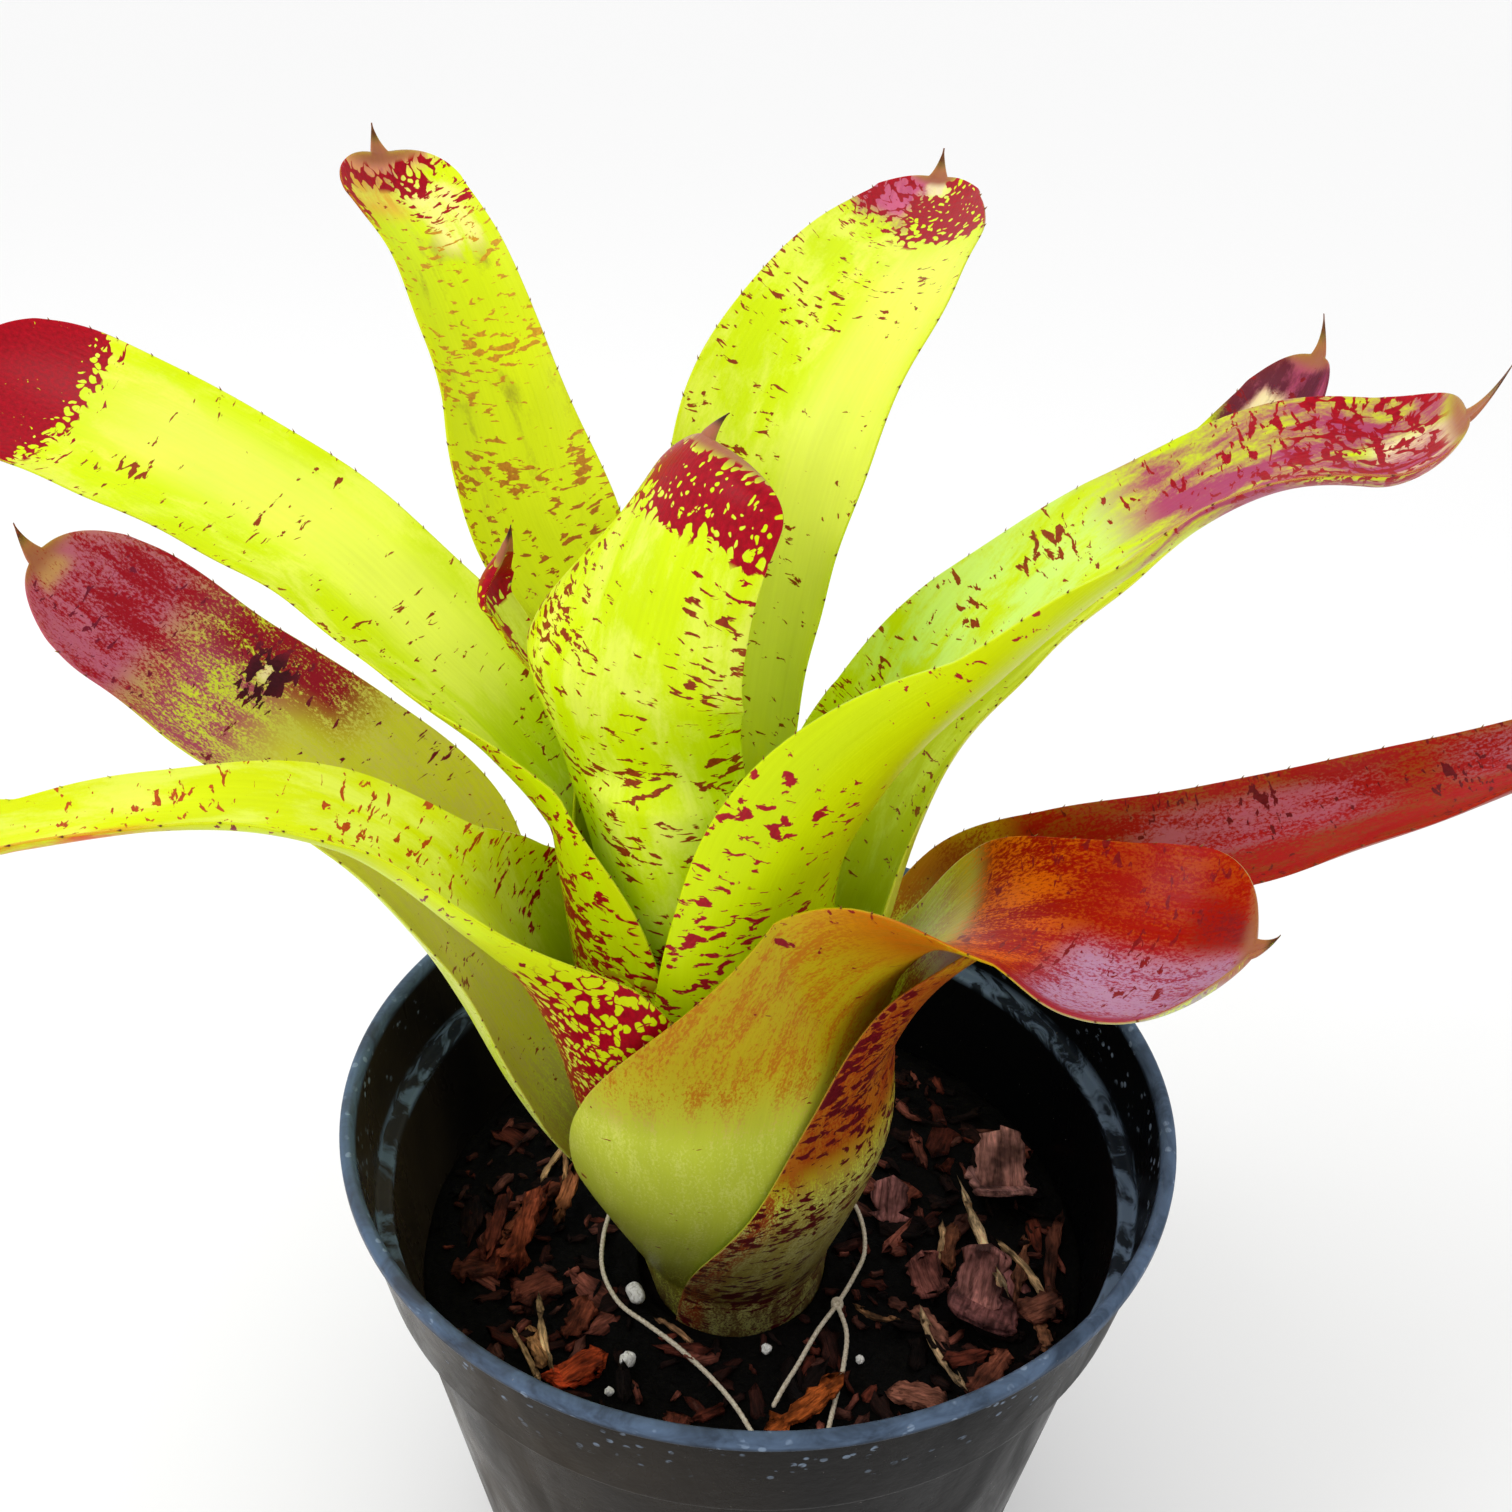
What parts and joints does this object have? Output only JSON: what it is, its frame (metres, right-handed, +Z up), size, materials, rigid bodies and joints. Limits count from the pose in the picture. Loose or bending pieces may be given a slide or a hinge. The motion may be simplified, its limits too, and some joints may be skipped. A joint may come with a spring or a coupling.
{
  "type": "potted bromeliad",
  "caption": "Rosette of broad spotted strap leaves with toothed edges, growing in bark mulch in a round black nursery pot.",
  "frame": {"origin": "middle of the pot's flat underside", "axes": "+Z up along the pot's axis, -Y towards the side the picture was taken from, +X to its right"},
  "size_m": [0.264, 0.15, 0.2815],
  "materials": {
    "black_plastic": "moulded, glossy, a little dusty",
    "potting_mix": "crumbly peat and fine bark",
    "bark": "rough splintered chips",
    "perlite": "matt, pitted",
    "tie_string": "thin twisted fibre",
    "stem": "smooth",
    "leaf_fresh": "waxy, satin, with dark red spots and crimson tips",
    "leaf_ageing": "waxy, satin, mottled olive to red"
  },
  "bodies": {
    "root": {"pot": "black_plastic", "potting_mix": "potting_mix", "bark_mulch": "bark", "perlite_1": "perlite", "perlite_2": "perlite", "perlite_3": "perlite", "perlite_4": "perlite", "tie_string": "tie_string", "stem": "stem", "leaf_01_lowest_right": "leaf_ageing", "leaf_02_front_right": "leaf_ageing", "leaf_03_old_left": "leaf_fresh", "leaf_04_back_right": "leaf_fresh", "leaf_05_low_left": "leaf_fresh", "leaf_06_right": "leaf_fresh", "leaf_07_left": "leaf_fresh", "leaf_08_back": "leaf_fresh", "leaf_09_back_left": "leaf_fresh", "leaf_10_front": "leaf_fresh", "leaf_11_heart": "leaf_fresh"}
  },
  "joints": []
}
